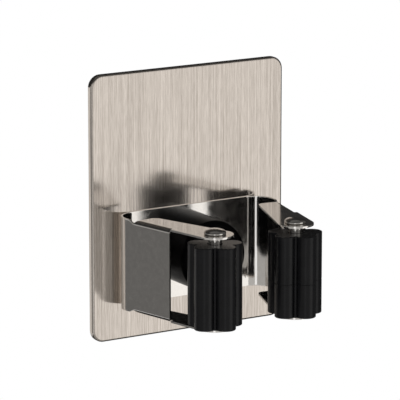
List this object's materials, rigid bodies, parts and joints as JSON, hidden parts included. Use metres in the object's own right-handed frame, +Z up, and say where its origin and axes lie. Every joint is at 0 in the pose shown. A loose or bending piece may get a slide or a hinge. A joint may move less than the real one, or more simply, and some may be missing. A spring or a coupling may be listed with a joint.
{
  "type": "wall mop holder clip",
  "caption": "Wall clip for a mop or broom handle: brushed plate with an adhesive back, polished U-shaped spring clip, lobed rubber rollers that turn on rivets and a round rubber bumper.",
  "frame": {"origin": "middle of the plate's back, on the wall", "axes": "+Y into the wall, -Y towards the room, +Z up, +X along the wall to the right as seen from the room"},
  "size_m": [0.07, 0.05, 0.085],
  "materials": {
    "brushed_plate": "brushed upright",
    "adhesive_foam": "closed-cell acrylic foam",
    "polished_clip": "mirror polished",
    "rivet_steel": "polished",
    "sleeve_steel": "turned and polished",
    "bumper_rubber": "smooth satin",
    "roller_rubber": "moulded satin"
  },
  "bodies": {
    "base": {"wall_plate": "brushed_plate", "adhesive_pad": "adhesive_foam", "clip_web": "polished_clip", "upper_clip_rivet": "rivet_steel", "lower_clip_rivet": "rivet_steel", "bumper": "bumper_rubber"},
    "left_arm": {"left_arm": "polished_clip", "left_sleeve": "sleeve_steel", "left_axle_rivet": "rivet_steel"},
    "left_roller": {"left_roller": "roller_rubber"},
    "right_arm": {"right_arm": "polished_clip", "right_sleeve": "sleeve_steel", "right_axle_rivet": "rivet_steel"},
    "right_roller": {"right_roller": "roller_rubber"}
  },
  "joints": [
    {"name": "left_arm_flex", "type": "hinge", "parent": "base", "child": "left_arm", "pos_m": [-0.02097, -0.0085, -0.0164], "axis": [0, 0, -1], "range_deg": [-4, 16], "stiffness_Nm_per_rad": 2},
    {"name": "left_roller_spin", "type": "hinge", "parent": "left_arm", "child": "left_roller", "pos_m": [-0.0145, -0.04138, -0.0164], "axis": [0, 0, 1], "continuous": true},
    {"name": "right_arm_flex", "type": "hinge", "parent": "base", "child": "right_arm", "pos_m": [0.02097, -0.0085, -0.0164], "axis": [0, 0, 1], "range_deg": [-4, 16], "stiffness_Nm_per_rad": 2},
    {"name": "right_roller_spin", "type": "hinge", "parent": "right_arm", "child": "right_roller", "pos_m": [0.0145, -0.04138, -0.0164], "axis": [0, 0, 1], "continuous": true}
  ]
}
